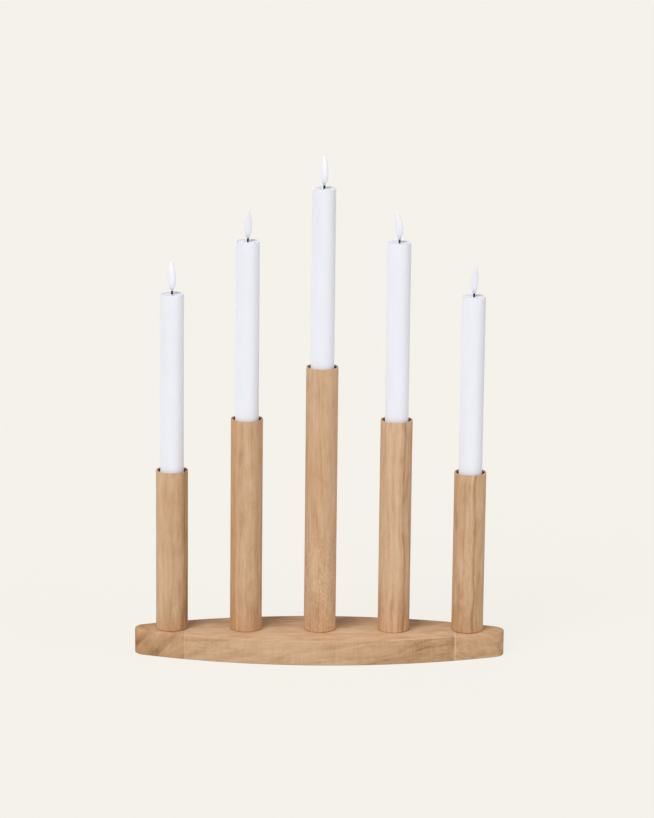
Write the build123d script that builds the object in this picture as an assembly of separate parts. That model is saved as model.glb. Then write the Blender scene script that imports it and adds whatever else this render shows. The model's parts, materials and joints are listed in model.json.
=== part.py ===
from build123d import *
import math
import os

# A five-arm advent candle holder in oiled hardwood, with one battery taper candle in each post.
# Units are millimetres. +Z is up, the front faces -Y, and the origin is on the resting face, at its middle.

# Posts in a row on the base
post_pitch = 70.0
centre_post_height = 254.0
post_step = 50.0
rim_wall = 1.0
rim_recess_depth = 7.0
rim_chamfer = 0.3
rim_inner_chamfer = 0.2
foot_chamfer = 0.5

# Base board, a pointed oval glued up from three blocks
end_overhang = 35.0
base_depth = 84.0
base_thickness = 24.0
base_nose_radius = 12.0
base_edge_round = 1.0
joint_inset = 13.0

# Hidden dowels across each glue joint
dowel_diameter = 6.0
dowel_length = 24.0
dowel_spacing = 22.0
dowel_end_gap = 1.0
dowel_chamfer = 0.8

# Screws that hold the posts from below
screw_shank_diameter = 4.8
screw_head_diameter = 9.6
screw_recess = 4.0
screw_bite = 30.0
screw_tip = 6.0
screw_end_gap = 1.0
screw_drive_width = 1.2
screw_drive_length = 5.0
screw_drive_depth = 1.6
counterbore_room = 0.4

# Stepped metal candle cup inside each post, with a collar that lines the recess
socket_depth = 32.0
cup_wall = 0.8
cup_ledge = 1.85
cup_lip_room = 0.15
cup_seat_gap = 0.2
cup_lip_chamfer = 0.3
cup_collar_drop = 0.5

# Candle body
candle_diameter = 22.0
candle_length = 200.0
candle_wall = 1.5
candle_top_wall = 4.5
candle_edge_round = 0.9
candle_lip_width = 1.6
candle_dish_depth = 0.8
candle_dish_fullness = 0.8

# Wick and moulded flame
wick_diameter = 2.0
wick_bore = 1.4
wick_height = 4.4
wick_collar_diameter = 2.8
wick_collar_height = 1.2
wick_flange_diameter = 6.0
wick_flange_height = 1.0
flame_height = 26.0
flame_diameter = 7.6
flame_lean = 3.8
flame_fullness = 0.7
flame_point = 0.5
flame_sections = 7
flame_foot_share = 0.02
flame_tip_share = 0.99

# Lamp and its board
lamp_diameter = 1.8
lamp_height = 3.6
lamp_chamfer = 0.5
lamp_room = 0.2
lead_width = 0.5
lead_spacing = 0.8
board_thickness = 1.2

# Battery cells and the sleeve that carries them
cell_diameter = 10.5
cell_length = 44.5
cell_nib_diameter = 3.8
cell_nib_height = 0.8
cell_edge_chamfer = 0.4
cell_count = 2
cell_gap = 0.1
cell_room = 0.25
sleeve_wall = 1.2
sleeve_rib_width = 1.6
sleeve_rib_count = 4
sleeve_head = 4.0

# Twist-off battery cap with two bayonet lugs
cap_flange_thickness = 3.0
cap_flange_inset = 0.2
cap_edge_chamfer = 0.4
cap_grip_count = 8
cap_grip_radius = 1.6
cap_grip_depth = 0.6
cap_spigot_wall = 1.2
cap_spigot_height = 8.0
cap_lug_height = 2.0
cap_lug_rise = 4.0
cap_lug_reach = 0.9
cap_lug_angle = 20.0
cap_twist = 30.0

# Sprung contact on the cap
contact_thickness = 0.4
contact_length = 5.0
contact_width = 3.0
contact_inset = 1.0
contact_bend_radius = 1.2
contact_room = 1.0

# Slide switch in the cap
switch_travel = 2.0
switch_nub_length = 1.8
switch_nub_width = 1.8
switch_plate_length = 4.0
switch_plate_width = 3.0
switch_plate_thickness = 1.0
switch_recess = 0.6

# Clearances
glue_fit = 0.05
running_gap = 0.3
rest_gap = 0.2
seat_touch_gap = 0.1
same_place = 1e-4

places = ["left_outer", "left_inner", "centre", "right_inner", "right_outer"]
flame_turns = [105.0, 270.0, 90.0, 180.0, 275.0]

# Sizes that follow from the values above
middle = (len(places) - 1) / 2
outer_post_x = middle * post_pitch
base_length = 2 * (outer_post_x + end_overhang)
joint_x = outer_post_x - joint_inset

cup_inner_diameter = candle_diameter + 2 * running_gap
cup_outer_diameter = cup_inner_diameter + 2 * cup_wall
cup_bore_diameter = cup_outer_diameter + 2 * glue_fit
rim_recess_diameter = cup_bore_diameter + 2 * cup_ledge
post_diameter = rim_recess_diameter + 2 * rim_wall

candle_bore_diameter = candle_diameter - 2 * candle_wall
wick_hole_diameter = wick_diameter + 2 * glue_fit
wick_foot = candle_length - candle_top_wall
wick_top = candle_length + wick_height
shell_bottom = cap_flange_thickness + rest_gap

sleeve_diameter = candle_bore_diameter - 2 * glue_fit
sleeve_bore_diameter = sleeve_diameter - 2 * sleeve_wall
spigot_diameter = sleeve_bore_diameter - 2 * running_gap
spigot_bore_diameter = spigot_diameter - 2 * cap_spigot_wall
spigot_top = cap_flange_thickness + cap_spigot_height
cells_bottom = spigot_top + contact_room
board_bottom = cells_bottom + cell_count * cell_length + (cell_count - 1) * cell_gap + seat_touch_gap
board_top = board_bottom + board_thickness
lug_bottom = cap_flange_thickness + cap_lug_rise
lug_top = lug_bottom + cap_lug_height


def chord_reach(radius, half_length):
    """How far from the middle of a circle a bar of this half length still lies inside it."""
    return math.sqrt(radius ** 2 - half_length ** 2)


contact_reach = chord_reach(cell_diameter / 2 - contact_inset, contact_length / 2)
contact_offset = contact_reach - contact_width / 2
switch_sweep = switch_plate_length + switch_travel
switch_reach = chord_reach(spigot_bore_diameter / 2 - running_gap, switch_sweep / 2)
switch_offset = switch_reach - switch_plate_width / 2


def post_x(index):
    return (index - middle) * post_pitch


def post_height(index):
    return centre_post_height - abs(index - middle) * post_step


def rim_z(index):
    return base_thickness + post_height(index)


def round_bar(radius, low, high, x=0.0, y=0.0):
    """Upright round bar between two heights."""
    return Pos(x, y, low) * extrude(Circle(radius), high - low)


def turned(*points):
    """Solid turned about Z from a profile of (radius, height) corners."""
    profile = make_face(Plane.XZ * Polyline(*points, close=True))
    return revolve(profile, Axis.Z)


def edges_at_height(solid, height, radius):
    """Circular edges of a turned solid at one height and radius."""
    circles = solid.edges().filter_by(GeomType.CIRCLE)
    level = [edge for edge in circles if abs(edge.center().Z - height) < same_place]
    return [edge for edge in level if abs(edge.radius - radius) < same_place]


def sector(inner, outer, low, high, start, sweep):
    """Part of a ring, from one angle round to another."""
    corners = [(inner, low), (outer, low), (outer, high), (inner, high)]
    profile = make_face(Plane.XZ * Polyline(*corners, close=True))
    return Rot(0, 0, start) * revolve(profile, Axis.Z, sweep)


def base_outline():
    """Pointed oval: two long arcs that run into a small round nose at each end."""
    half_depth = base_depth / 2
    nose_x = base_length / 2 - base_nose_radius
    span = nose_x ** 2 + half_depth ** 2 - base_nose_radius ** 2
    side_radius = span / (2 * (half_depth - base_nose_radius))
    reach = side_radius / (side_radius - base_nose_radius)
    meet_x = nose_x * reach
    meet_y = half_depth - side_radius + (side_radius - half_depth) * reach
    front = ThreePointArc((-meet_x, -meet_y), (0, -half_depth), (meet_x, -meet_y))
    right = ThreePointArc((meet_x, -meet_y), (base_length / 2, 0), (meet_x, meet_y))
    back = ThreePointArc((meet_x, meet_y), (0, half_depth), (-meet_x, meet_y))
    left = ThreePointArc((-meet_x, meet_y), (-base_length / 2, 0), (-meet_x, -meet_y))
    return make_face([front, right, back, left])


def dowel_places():
    return [(side * joint_x, row * dowel_spacing / 2) for side in (-1, 1) for row in (-1, 1)]


def lying_bar(radius, length, x, y):
    """Round bar along X, at mid-thickness of the base."""
    start = Plane(origin=(x - length / 2, y, base_thickness / 2), x_dir=(0, 1, 0), z_dir=(1, 0, 0))
    return extrude(start * Circle(radius), length)


def screw_form(room, end_room):
    """Countersunk screw turned about Z, with its head down, or the hole that gives it room."""
    head = screw_head_diameter / 2 + room
    shank = screw_shank_diameter / 2 + room
    cone_top = screw_recess + head - shank
    end = base_thickness + screw_bite + end_room
    return turned((0, screw_recess), (head, screw_recess), (shank, cone_top),
                  (shank, end - screw_tip), (0, end))


def make_base():
    board = extrude(base_outline(), base_thickness)
    board = fillet(board.edges().filter_by(Plane.XY), base_edge_round)
    for index in range(len(places)):
        board -= Pos(post_x(index)) * screw_form(glue_fit, screw_end_gap)
        counterbore = screw_head_diameter / 2 + counterbore_room
        board -= round_bar(counterbore, 0, screw_recess + glue_fit, post_x(index))
    for x, y in dowel_places():
        board -= lying_bar(dowel_diameter / 2 + glue_fit, dowel_length + 2 * dowel_end_gap, x, y)
    end_x = (base_length / 2 + joint_x) / 2
    standing = (Align.CENTER, Align.CENTER, Align.MIN)
    end_box = Box(base_length / 2 - joint_x, base_depth, base_thickness, align=standing)
    centre_box = Box(2 * joint_x, base_depth, base_thickness, align=standing)
    return {
        "base_left_block": board & Pos(-end_x) * end_box,
        "base_centre_block": board & centre_box,
        "base_right_block": board & Pos(end_x) * end_box,
    }


def make_dowels():
    bars = []
    for x, y in dowel_places():
        bar = lying_bar(dowel_diameter / 2, dowel_length, x, y)
        bars.append(chamfer(bar.edges().filter_by(GeomType.CIRCLE), dowel_chamfer))
    return Compound(children=bars)


def make_screw(x):
    body = screw_form(0.0, 0.0)
    for turn in (0, 90):
        slot = Box(screw_drive_length, screw_drive_width, 2 * screw_drive_depth)
        body -= Pos(0, 0, screw_recess) * Rot(0, 0, turn) * slot
    return Pos(x) * body


def make_post(index):
    top = rim_z(index)
    radius = post_diameter / 2
    post = round_bar(radius, base_thickness, top)
    post -= round_bar(rim_recess_diameter / 2, top - rim_recess_depth, top)
    post -= round_bar(cup_bore_diameter / 2, top - socket_depth - cup_wall - cup_seat_gap, top)
    post = chamfer(edges_at_height(post, top, radius), rim_chamfer)
    post = chamfer(edges_at_height(post, top, rim_recess_diameter / 2), rim_inner_chamfer)
    post = chamfer(edges_at_height(post, base_thickness, radius), foot_chamfer)
    post -= screw_form(glue_fit, screw_end_gap)
    return Pos(post_x(index)) * post


def make_cup():
    """Cup with its floor at height zero, hung on the ledge, with a collar up to just below the rim."""
    inner = cup_inner_diameter / 2
    outer = cup_outer_diameter / 2
    collar = rim_recess_diameter / 2 - cup_lip_room
    ledge = socket_depth - rim_recess_depth
    lip = ledge + cup_wall
    collar_top = socket_depth - cup_collar_drop
    cup = turned((0, -cup_wall), (outer, -cup_wall), (outer, ledge), (collar, ledge),
                 (collar, collar_top), (collar - cup_wall, collar_top), (collar - cup_wall, lip),
                 (inner, lip), (inner, 0), (0, 0))
    cup = chamfer(edges_at_height(cup, lip, inner), cup_lip_chamfer)
    return chamfer(edges_at_height(cup, -cup_wall, outer), cup_lip_chamfer)


def make_shell():
    """Wax-coated candle body, open below, with a shallow dished top and a wick hole."""
    outer = candle_diameter / 2
    bore = candle_bore_diameter / 2
    hole = wick_hole_diameter / 2
    dish_edge = outer - candle_lip_width
    dish_low = candle_length - candle_dish_depth
    dish_mid = ((dish_edge + hole) / 2, candle_length - candle_dish_fullness * candle_dish_depth)
    straight = Polyline((hole, dish_low), (hole, wick_foot), (bore, wick_foot), (bore, shell_bottom),
                        (outer, shell_bottom), (outer, candle_length), (dish_edge, candle_length))
    dish = ThreePointArc((dish_edge, candle_length), dish_mid, (hole, dish_low))
    shell = revolve(make_face(Plane.XZ * (straight + dish)), Axis.Z)
    return fillet(edges_at_height(shell, candle_length, outer), candle_edge_round)


def make_wick():
    """Hollow wick stem with a flange under the candle top and a collar under the flame."""
    outer = wick_diameter / 2
    bore = wick_bore / 2
    collar = wick_collar_diameter / 2
    flange = wick_flange_diameter / 2
    return turned((bore, wick_foot - wick_flange_height), (flange, wick_foot - wick_flange_height),
                  (flange, wick_foot), (outer, wick_foot), (outer, wick_top - 2 * wick_collar_height),
                  (collar, wick_top - wick_collar_height), (collar, wick_top), (bore, wick_top))


def flame_girth(share):
    """Share of the flame's full width at a share of its height: full and low, then drawn to a tip."""
    return math.sin(math.pi * share ** flame_fullness) ** flame_point


def make_flame():
    """Moulded flame that leans a little as it rises, with a pocket for the lamp.

    Its sections lie closer together at the round foot and at the blunt tip."""
    slices = []
    for step in range(flame_sections):
        rise = (1 - math.cos(math.pi * step / (flame_sections - 1))) / 2
        share = flame_foot_share + (flame_tip_share - flame_foot_share) * rise
        place = Pos(flame_lean * rise ** 2, 0, wick_top + flame_height * rise)
        slices.append(place * Circle(flame_diameter / 2 * flame_girth(share)))
    pocket = lamp_diameter / 2 + lamp_room
    return loft(slices) - round_bar(pocket, wick_top, wick_top + lamp_height + lamp_room)


def make_led_board():
    """Round board, and the lamp that stands on the wick with its two leads running down to the board."""
    board = round_bar(sleeve_bore_diameter / 2 - glue_fit, board_bottom, board_top)
    radius = lamp_diameter / 2
    lamp = round_bar(radius, wick_top, wick_top + lamp_height)
    lamp = chamfer(edges_at_height(lamp, wick_top + lamp_height, radius), lamp_chamfer)
    for side in (-1, 1):
        lead = Box(lead_width, lead_width, wick_top - board_top, align=(Align.CENTER, Align.CENTER, Align.MIN))
        lamp += Pos(side * lead_spacing / 2, 0, board_top) * lead
    return Compound(children=[board, lamp])


def make_cells():
    cells = []
    for number in range(cell_count):
        low = cells_bottom + number * (cell_length + cell_gap)
        shoulder = low + cell_length - cell_nib_height
        can = round_bar(cell_diameter / 2, low, shoulder)
        can = chamfer(can.edges().filter_by(GeomType.CIRCLE), cell_edge_chamfer)
        cells.append(can + round_bar(cell_nib_diameter / 2, shoulder, low + cell_length))
    return Compound(children=cells)


def make_sleeve():
    """Ribbed tube that centres the cells, with bayonet slots at its foot for the cap's lugs."""
    outer = sleeve_diameter / 2
    bore = sleeve_bore_diameter / 2
    head = board_top + sleeve_head
    sleeve = round_bar(outer, shell_bottom, head) - round_bar(bore, shell_bottom, head)
    rib_inner = cell_diameter / 2 + cell_room
    rib_depth = bore + sleeve_wall / 2 - rib_inner
    rib_length = board_bottom - cells_bottom
    for number in range(sleeve_rib_count):
        rib = Box(rib_depth, sleeve_rib_width, rib_length, align=(Align.MIN, Align.CENTER, Align.MIN))
        sleeve += Rot(0, 0, (number + 0.5) * 360 / sleeve_rib_count) * Pos(rib_inner, 0, cells_bottom) * rib
    gap_angle = math.degrees(running_gap / bore)
    lug_sweep = cap_lug_angle + 2 * gap_angle
    wall = (bore - sleeve_wall / 2, outer + sleeve_wall / 2)
    for side in (0, 180):
        start = side - cap_lug_angle / 2 - gap_angle - cap_twist
        sleeve -= sector(*wall, lug_bottom - running_gap, lug_top + running_gap, start, lug_sweep + cap_twist)
        sleeve -= sector(*wall, shell_bottom, lug_top + running_gap, start, lug_sweep)
    return sleeve


def make_cap():
    """Battery cap: gripped flange, spigot with two lugs, and the switch slot through its floor."""
    flange = candle_diameter / 2 - cap_flange_inset
    spigot = spigot_diameter / 2
    spigot_bore = spigot_bore_diameter / 2
    cap = round_bar(flange, 0, cap_flange_thickness)
    cap = chamfer(edges_at_height(cap, 0, flange), cap_edge_chamfer)
    for number in range(cap_grip_count):
        notch_x = flange + cap_grip_radius - cap_grip_depth
        notch = round_bar(cap_grip_radius, 0, cap_flange_thickness, notch_x)
        cap -= Rot(0, 0, number * 360 / cap_grip_count) * notch
    ring = round_bar(spigot, cap_flange_thickness, spigot_top)
    cap += ring - round_bar(spigot_bore, cap_flange_thickness, spigot_top)
    lug_inner = (spigot + spigot_bore) / 2
    lug_outer = spigot + cap_lug_reach
    for side in (0, 180):
        cap += sector(lug_inner, lug_outer, lug_bottom, lug_top, side - cap_lug_angle / 2, cap_lug_angle)
    slot_length = switch_nub_length + switch_travel + 2 * rest_gap
    slot_width = switch_nub_width + 2 * rest_gap
    cap -= Pos(0, -switch_offset, 0) * Box(slot_length, slot_width, 2 * cap_flange_thickness)
    return cap


def make_contact():
    """Sprung strip folded into a C, from the cap floor up to the lowest cell."""
    height = cells_bottom - cap_flange_thickness - seat_touch_gap
    strip = Rectangle(contact_length, height)
    strip = fillet(strip.vertices().sort_by(Axis.X)[-2:], contact_bend_radius)
    inside = Rectangle(contact_length, height - 2 * contact_thickness)
    inside = fillet(inside.vertices().sort_by(Axis.X)[-2:], contact_bend_radius - contact_thickness)
    profile = strip - Pos(-contact_thickness) * inside
    middle_point = (0, contact_offset, cap_flange_thickness + height / 2)
    side_view = Plane(origin=middle_point, x_dir=(1, 0, 0), z_dir=(0, -1, 0))
    return extrude(side_view * profile, contact_width / 2, both=True)


def make_switch():
    """Slider at its on stop: a plate above the cap floor and a nub down in the slot."""
    x = -switch_travel / 2
    plate_low = cap_flange_thickness + seat_touch_gap
    low = (Align.CENTER, Align.CENTER, Align.MIN)
    plate = Box(switch_plate_length, switch_plate_width, switch_plate_thickness, align=low)
    nub_height = plate_low - switch_recess
    nub = Box(switch_nub_length, switch_nub_width, nub_height + switch_plate_thickness / 2, align=low)
    return Pos(x, -switch_offset, plate_low) * plate + Pos(x, -switch_offset, switch_recess) * nub


def main():
    os.makedirs("parts", exist_ok=True)
    nodes = make_base()
    nodes["base_dowels"] = make_dowels()
    nodes["post_screws"] = Compound(children=[make_screw(post_x(index)) for index in range(len(places))])
    candle_pieces = {
        "cup": make_cup(),
        "candle_shell": make_shell(),
        "wick": make_wick(),
        "led_board": make_led_board(),
        "battery_cells": make_cells(),
        "battery_sleeve": make_sleeve(),
        "battery_cap": make_cap(),
        "battery_contact": make_contact(),
        "switch_slider": make_switch(),
    }
    flame = make_flame()
    for index, place in enumerate(places):
        nodes[f"{place}_post"] = make_post(index)
        seat = Pos(post_x(index), 0, rim_z(index) - socket_depth)
        for name, piece in candle_pieces.items():
            nodes[f"{place}_{name}"] = seat * piece
        nodes[f"{place}_flame"] = seat * Rot(0, 0, flame_turns[index]) * flame
    for name, piece in nodes.items():
        export_step(piece, f"parts/{name}.step")


main()
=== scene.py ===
import json
import math

import bmesh
import bpy
from mathutils import Euler, Matrix, Vector

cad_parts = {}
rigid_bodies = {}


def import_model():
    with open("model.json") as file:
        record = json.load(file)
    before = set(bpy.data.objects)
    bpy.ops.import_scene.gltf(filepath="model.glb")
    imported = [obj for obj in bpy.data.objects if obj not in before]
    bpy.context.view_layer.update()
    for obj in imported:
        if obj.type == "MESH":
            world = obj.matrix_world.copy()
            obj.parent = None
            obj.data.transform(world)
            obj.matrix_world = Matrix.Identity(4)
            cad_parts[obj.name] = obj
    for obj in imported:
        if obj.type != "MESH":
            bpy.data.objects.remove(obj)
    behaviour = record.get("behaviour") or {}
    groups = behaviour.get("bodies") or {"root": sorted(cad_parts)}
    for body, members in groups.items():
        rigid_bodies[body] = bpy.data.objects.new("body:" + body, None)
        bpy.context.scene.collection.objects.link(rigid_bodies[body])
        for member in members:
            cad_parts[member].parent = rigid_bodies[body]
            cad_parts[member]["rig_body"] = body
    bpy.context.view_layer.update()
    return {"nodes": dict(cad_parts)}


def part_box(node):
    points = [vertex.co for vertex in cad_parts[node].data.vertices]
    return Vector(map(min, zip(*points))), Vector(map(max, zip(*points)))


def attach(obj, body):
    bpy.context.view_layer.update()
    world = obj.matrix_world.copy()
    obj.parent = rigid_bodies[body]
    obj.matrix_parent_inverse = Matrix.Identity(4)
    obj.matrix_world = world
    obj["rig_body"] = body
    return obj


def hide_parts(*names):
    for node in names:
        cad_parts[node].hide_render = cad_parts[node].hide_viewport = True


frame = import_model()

# A wooden advent candle holder with five battery tapers, dressed over its solids.
# Sizes are in millimetres, as in the part's source, and MM turns them into Blender's metres.
MM = 0.001

# Holder sizes
PLACES = ["left_outer", "left_inner", "centre", "right_inner", "right_outer"]
MIDDLE = 2
POST_PITCH = 70.0
POST_RADIUS = 15.0
CENTRE_POST_HEIGHT = 254.0
POST_STEP = 50.0
RECESS_RADIUS = 14.0
RECESS_DEPTH = 7.0
BORE_RADIUS = 12.15
BORE_DEPTH = 33.0
RIM_ROUND = 0.3
RIM_INNER_ROUND = 0.2
FOOT_CHAMFER = 0.5
BASE_HALF_LENGTH = 175.0
BASE_HALF_DEPTH = 42.0
BASE_THICKNESS = 24.0
NOSE_RADIUS = 12.0
EDGE_ROUND = 1.0
GLUE_X = 127.0

# Screw sizes
SCREW_RECESS = 4.0
SCREW_HEAD_RADIUS = 4.8
SCREW_SHANK_RADIUS = 2.4
SCREW_ROOM = 0.05
SCREW_TOP = 54.0
SCREW_TIP = 6.0
SCREW_EASE = 0.2
SCREW_PLAIN = 4.0
THREAD_START = 6.0
THREAD_PITCH = 1.8
THREAD_ROOT_RADIUS = 1.65
THREAD_FLANK = 0.8
THREAD_FOOT = 1.2
THREAD_ROOM = 0.05
POINT_RADIUS = 1.5
CROSS_RADIUS = 2.3
CROSS_FLOOR_RADIUS = 0.9
CROSS_DEPTH = 1.5
CROSS_POINT = 1.6
CROSS_WAIST = 0.35
PILOT_ROOM = 1.0
COUNTERBORE_RADIUS = 5.2
CUT_OVERSHOOT = 2.0

# Cup and candle sizes
SOCKET_DEPTH = 32.0
CUP_WALL = 0.8
CUP_INNER_RADIUS = 11.3
CUP_OUTER_RADIUS = 12.1
CUP_COLLAR_RADIUS = 13.85
CUP_COLLAR_DROP = 0.5
CUP_BEND = 0.5
CANDLE_RADIUS = 11.0
CANDLE_LENGTH = 200.0
CANDLE_FOOT = 3.2
CANDLE_BORE_RADIUS = 9.5
CANDLE_TOP_WALL = 4.5
CANDLE_EDGE_ROUND = 0.9
CANDLE_FOOT_EASE = 0.3
LIP_WIDTH = 1.6
LIP_EASE = 0.3
DISH_DEPTH = 0.8
DISH_BEND = 0.9
WICK_RADIUS = 1.0
WICK_ROOM = 0.05
WICK_BORE_RADIUS = 0.7
WICK_HEIGHT = 4.4
WICK_FLANGE_RADIUS = 3.0
WICK_FLANGE_THICKNESS = 1.0
WICK_SHOULDER = 1.0
WICK_SHOULDER_EASE = 0.3
WICK_CORE_RADIUS = 0.8
WICK_STRANDS = 6
WICK_TURNS = 1.1
WINDING_RADIUS = 0.75
STRAND_RADIUS = 0.25
STRAND_ROOM = 1.6
WICK_COLLAR_RADIUS = 1.4
WICK_COLLAR_HEIGHT = 1.2
FLAME_HEIGHT = 26.0
FLAME_RADIUS = 3.8
FLAME_LEAN = 3.8
FLAME_FULLNESS = 0.7
FLAME_POINT = 0.5
FLAME_FOOT_SHARE = 0.02
FLAME_TIP_SHARE = 0.99
FLAME_TURNS = [105.0, 270.0, 90.0, 180.0, 275.0]
LAMP_POCKET_RADIUS = 1.1
LAMP_POCKET_DEPTH = 3.8

# Steps round and up each piece and along the base's edges, and the angle past which an edge stays sharp
POST_STEPS = 128
POST_LEVELS = 12
CUP_STEPS = 96
CUP_BEND_STEPS = 4
CUP_ROLL_STEPS = 8
CANDLE_STEPS = 112
CANDLE_LEVELS = 10
LIP_STEPS = 8
DISH_STEPS = 10
FLAME_STEPS = 40
FLAME_LEVELS = 36
SCREW_STEPS = 32
HOLE_STEPS = 48
WICK_STEPS = 32
SPIRAL_STEPS = 24
STRAND_STEPS = 8
CENTRE_EDGE_STEPS = 64
END_EDGE_STEPS = 12
NOSE_STEPS = 20
SHARP_EDGE = 40.0
SHARP_FLAME_EDGE = 60.0


def post_x(index):
    """Where a post's axis stands along the row."""
    return (index - MIDDLE) * POST_PITCH


def rim_z(index):
    """Height of a post's rim, a step lower for each place from the middle."""
    return BASE_THICKNESS + CENTRE_POST_HEIGHT - abs(index - MIDDLE) * POST_STEP


def candle_z(index):
    """Height of the floor in a post's cup, where its candle stands."""
    return rim_z(index) - SOCKET_DEPTH


def tint(red, green, blue):
    """Linear colour from the 0 to 255 values that a screen shows."""
    shown = [value / 255 for value in (red, green, blue)]
    linear = [value / 12.92 if value <= 0.04045 else ((value + 0.055) / 1.055) ** 2.4 for value in shown]
    return (*linear, 1.0)


class Finish:
    """One material's node tree, with short calls for the nodes that it is made of."""

    def __init__(self, name, **constants):
        self.material = bpy.data.materials.new(name)
        self.material.use_nodes = True
        self.tree = self.material.node_tree
        self.tree.nodes.clear()
        output = self.tree.nodes.new("ShaderNodeOutputMaterial")
        self.shader = self.tree.nodes.new("ShaderNodeBsdfPrincipled")
        self.tree.links.new(self.shader.outputs["BSDF"], output.inputs["Surface"])
        for socket, value in constants.items():
            self.shader.inputs[socket.replace("_", " ")].default_value = value

    def feed(self, socket, value):
        """Link an input to another node's output, or set it to a plain value."""
        if isinstance(value, bpy.types.NodeSocket):
            self.tree.links.new(value, socket)
        else:
            socket.default_value = value

    def node(self, kind, inputs, **settings):
        """New node with its settings made and its inputs fed, by name or number."""
        node = self.tree.nodes.new(kind)
        for name, value in settings.items():
            setattr(node, name, value)
        for name, value in inputs.items():
            self.feed(node.inputs[name], value)
        return node

    def math(self, operation, *values, clamp=False):
        inputs = dict(enumerate(values))
        return self.node("ShaderNodeMath", inputs, operation=operation, use_clamp=clamp).outputs[0]

    def weighted(self, start, terms):
        """Start value plus each (signal, weight), with every signal taken about its middle of 0.5."""
        total = start - 0.5 * sum(weight for signal, weight in terms)
        for signal, weight in terms:
            total = self.math("MULTIPLY_ADD", signal, weight, total)
        return total

    def place(self, middle=(0, 0, 0), turn=(0, 0, 0)):
        """Object coordinates in millimetres from a middle, turned so that the grain runs along Z."""
        rotation = Euler([math.radians(angle) for angle in turn])
        shift = -(rotation.to_matrix() @ Vector(middle))
        coordinates = self.node("ShaderNodeTexCoord", {})
        inputs = {"Vector": coordinates.outputs["Object"], "Location": shift,
                  "Rotation": rotation, "Scale": (1 / MM, 1 / MM, 1 / MM)}
        return self.node("ShaderNodeMapping", inputs).outputs[0]

    def stretch(self, vector, scale, offset=(0, 0, 0)):
        inputs = {0: vector, 1: scale, 2: offset}
        return self.node("ShaderNodeVectorMath", inputs, operation="MULTIPLY_ADD").outputs[0]

    def noise(self, vector, detail=2.0, roughness=0.5, output="Fac"):
        inputs = {"Vector": vector, "Scale": 1.0, "Detail": detail, "Roughness": roughness}
        return self.node("ShaderNodeTexNoise", inputs).outputs[output]

    def grain(self, place, scale, shift, detail):
        """Noise drawn out along the grain, stretched to fill 0 to 1."""
        contrast = 2.2
        value = self.noise(self.stretch(place, scale, shift), detail, roughness=0.58)
        return self.math("MULTIPLY_ADD", value, contrast, 0.5 - contrast / 2, clamp=True)

    def between(self, value, low, high, to_low=0.0, to_high=1.0):
        """Smooth step of a value from one range to another."""
        inputs = {"Value": value, "From Min": low, "From Max": high, "To Min": to_low, "To Max": to_high}
        return self.node("ShaderNodeMapRange", inputs, interpolation_type="SMOOTHSTEP").outputs[0]

    def axes(self, vector):
        return self.node("ShaderNodeSeparateXYZ", {0: vector}).outputs

    def ramp(self, value, stops):
        node = self.node("ShaderNodeValToRGB", {0: value})
        elements = node.color_ramp.elements
        while len(elements) < len(stops):
            elements.new(0.5)
        for element, (position, colour) in zip(elements, stops):
            element.position = position
            element.color = colour
        return node.outputs[0]

    def mix(self, factor, first, second):
        node = self.tree.nodes.new("ShaderNodeMix")
        node.data_type = "RGBA"
        for socket, value in ((node.inputs[0], factor), (node.inputs[6], first), (node.inputs[7], second)):
            self.feed(socket, value)
        return node.outputs[2]

    def bump(self, height, strength, depth):
        """Raise the surface by a height value, so many millimetres deep."""
        inputs = {"Strength": strength, "Distance": depth * MM, "Height": height}
        normal = self.node("ShaderNodeBump", inputs).outputs[0]
        self.feed(self.shader.inputs["Normal"], normal)

    def paint(self, **sockets):
        """Feed the shader's inputs and give the finished material."""
        for socket, value in sockets.items():
            self.feed(self.shader.inputs[socket.replace("_", " ")], value)
        return self.material


# Oiled hardwood: broken silky streaks, fibres and growth layers that waver along the grain
PALE = tint(230, 201, 169)
LIGHT = tint(217, 184, 151)
TAN = tint(205, 169, 135)
BROWN = tint(186, 148, 112)
DARK = tint(150, 112, 79)
ORANGE = tint(203, 156, 111)
BLUSH = tint(214, 175, 146)
GLUE = tint(232, 205, 168)

# Waves per millimetre of each part of the grain: across it, into it and along it
BEND_WAVES = (0.04, 0.04, 0.022)
LAYER_WAVES = (0.06, 0.06, 0.004)
MOTTLE_WAVES = (0.13, 0.13, 0.04)
SILK_WAVES_ALONG = 0.022
FIBRE_WAVES = (1.5, 1.5, 0.07)
HAIR_WAVES = (4.0, 4.0, 0.20)
PORE_WAVES = (2.6, 2.6, 0.17)
WARM_WAVES = (0.06, 0.06, 0.02)
FLECK_WAVES = (1.2, 1.2, 0.2)

# Waves per millimetre of the saw's marks and of the glue's edge, along the object's own axes
SAW_WAVES = (0.55, 0.0, 0.05)
GLUE_WAVES = (0.0, 0.0, 0.25)
GLUE_RIPPLE = 0.5

# Noise values between which pores, flecks and warm patches come in, and how much a pore is worth
PORE_RANGE, PORE_GAIN = (0.63, 0.74), -0.08
FLECK_RANGE = (0.62, 0.85)
WARM_RANGE = (0.4, 0.7)
FLECK_SLANT = 0.3

# Lean of the growth layers into the depth, and where each starts to darken and turns pale again
LAYER_LEAN = 0.35
LAYER_START = 0.45
LAYER_TURN = 0.94

# A post's foot: heights over which its painted contact shadow line, its painted shade and its painted warm
# bounce light fade out, and each one's share
FOOT_SHADOW_LINE, FOOT_SHADOW_LINE_GAIN = 1.3, -0.45
FOOT_SHADE, FOOT_SHADE_GAIN = 60.0, -0.17
FOOT_BOUNCE_LIGHT, FOOT_BOUNCE_LIGHT_SHARE = 22.0, 0.25


def grain_and_light_band(finish, across, where, half_width, gain):
    """One light or dark band that runs with the grain, worth its gain at its middle; some are grain, some
    are painted light and shade on a post's sides.
    """
    offset = finish.math("SUBTRACT", across, where)
    share = finish.math("DIVIDE", finish.math("ABSOLUTE", offset), half_width)
    return finish.between(share, 0.0, 1.0, gain, 0.0)


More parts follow.
